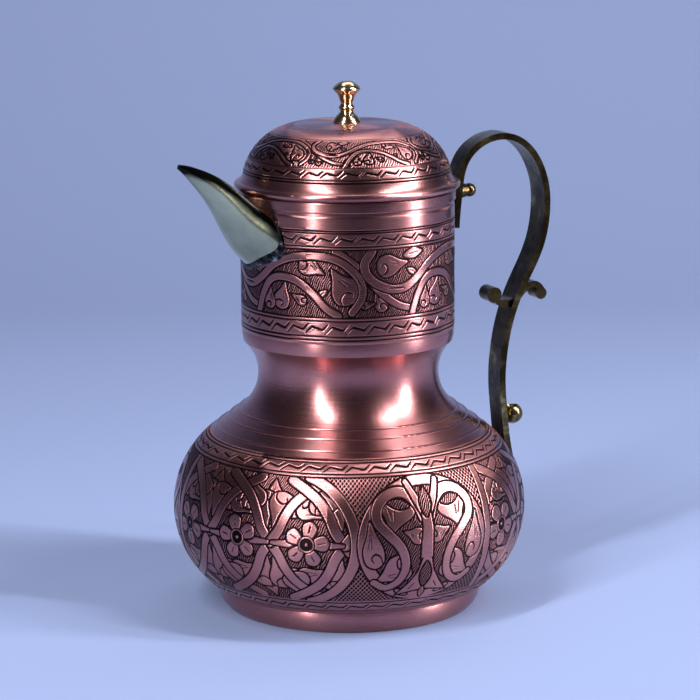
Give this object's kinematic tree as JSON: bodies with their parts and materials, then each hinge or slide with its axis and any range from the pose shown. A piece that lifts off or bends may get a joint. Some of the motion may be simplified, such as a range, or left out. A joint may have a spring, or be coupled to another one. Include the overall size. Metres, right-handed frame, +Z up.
{
  "type": "water jug",
  "caption": "Lidded water jug with a squat round belly, a wide straight neck, an open beak spout and a looping strap handle; the domed lid lifts off.",
  "frame": {"origin": "centre of the foot's standing ring, on the surface the jug stands on", "axes": "+Z up along the jug's axis, -X towards the spout, +X towards the handle"},
  "size_m": [0.1941, 0.1732, 0.2588],
  "materials": {
    "copper": "satin",
    "cast_brass": "satin",
    "turned_brass": "polished",
    "solder": "satin"
  },
  "bodies": {
    "jug": {"body_shell": "copper", "neck_shell": "copper", "foot_ring": "copper", "base_disc": "copper", "base_seam_solder": "solder", "foot_seam_solder": "solder", "waist_seam_solder": "solder", "spout": "cast_brass", "spout_solder": "solder", "handle": "cast_brass", "handle_top_solder": "solder", "handle_foot_solder": "solder"},
    "lid": {"lid_dome": "copper", "lid_rim_wire": "copper", "lid_collar": "copper", "lid_collar_solder": "solder", "knob": "turned_brass", "knob_washer": "turned_brass", "knob_screw": "turned_brass"}
  },
  "joints": [
    {"name": "lid_lift", "type": "slide", "parent": "jug", "child": "lid", "axis": [0, 0, 1], "range_m": [0, 0.06]}
  ]
}
